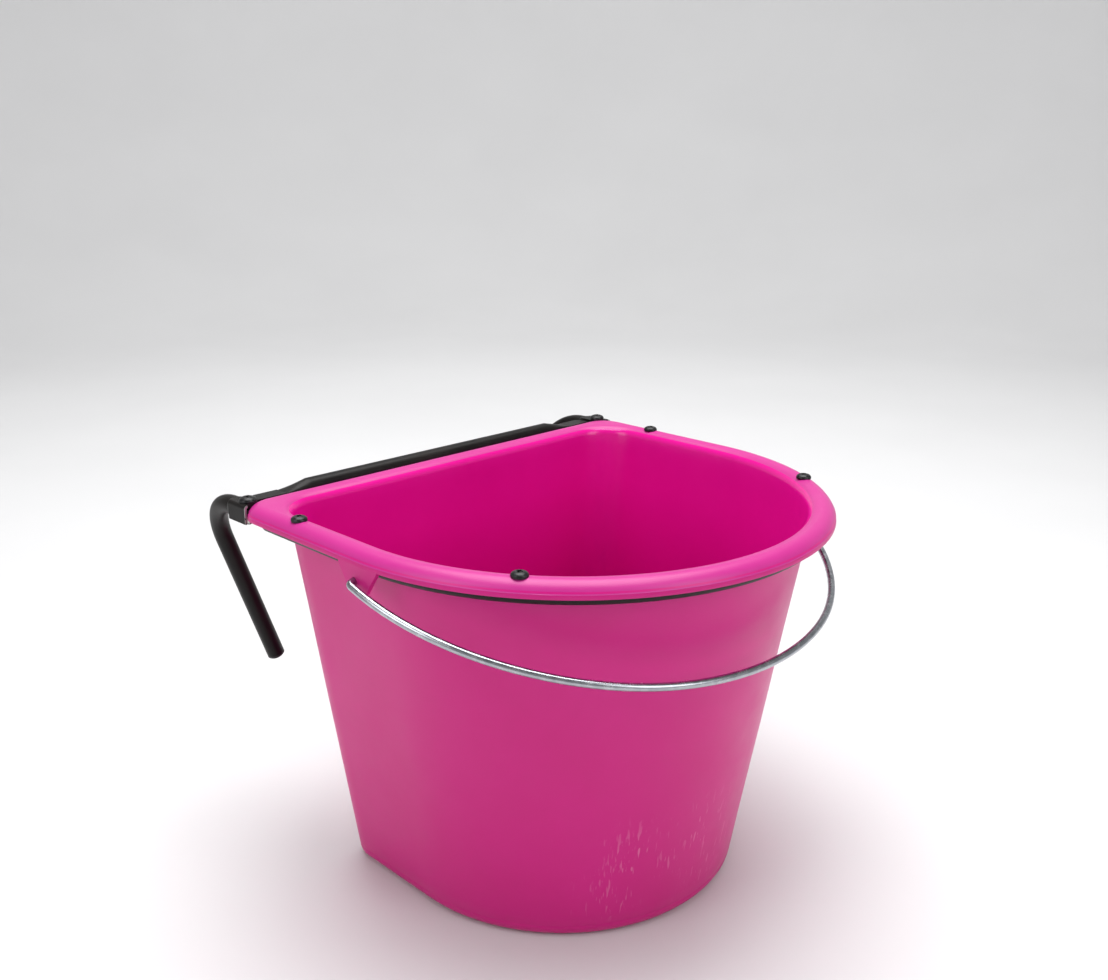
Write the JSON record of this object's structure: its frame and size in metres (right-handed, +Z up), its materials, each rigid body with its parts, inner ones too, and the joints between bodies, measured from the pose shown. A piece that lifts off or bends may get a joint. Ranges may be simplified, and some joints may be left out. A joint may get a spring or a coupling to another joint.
{
  "type": "feed bucket",
  "caption": "D-shaped plastic feed bucket in a black steel carrying frame, with two rear hooks for a board or rail and a swinging wire bail handle.",
  "frame": {"origin": "centre of the base's underside, on the plane of symmetry", "axes": "+Z up; +Y towards the flat back with the hooks; -Y towards the rounded front; +X to the bucket's right seen from its front, at the hook_right side"},
  "size_m": [0.3802, 0.38, 0.2774],
  "materials": {
    "bucket_plastic": "semi-matte moulded polyethylene, pink, deeper magenta inside",
    "black_steel": "satin black powder coat",
    "galvanised_wire": "bright galvanised wire",
    "black_screw": "black coated screw with cross recess",
    "zinc_hardware": "zinc-plated nut and washer",
    "black_plug": "black moulded plug"
  },
  "bodies": {
    "bucket": {"bucket_shell": "bucket_plastic", "rim_hoop": "black_steel", "back_rail": "black_steel", "hook_left": "black_steel", "hook_right": "black_steel", "rim_screw_left_side": "black_screw", "rim_screw_left_front": "black_screw", "rim_screw_right_side": "black_screw", "rim_screw_right_front": "black_screw", "corner_bolt_left": "black_screw", "corner_bolt_right": "black_screw", "corner_washer_left": "zinc_hardware", "corner_washer_right": "zinc_hardware", "corner_nut_left": "zinc_hardware", "corner_nut_right": "zinc_hardware", "hook_end_cap_left": "black_plug", "hook_end_cap_right": "black_plug"},
    "bail": {"bail_handle": "galvanised_wire"}
  },
  "joints": [
    {"name": "bail_swing", "type": "hinge", "parent": "bucket", "child": "bail", "pos_m": [0, 0.012, 0.2542], "axis": [-1, 0, 0], "range_deg": [-21, 172]}
  ]
}
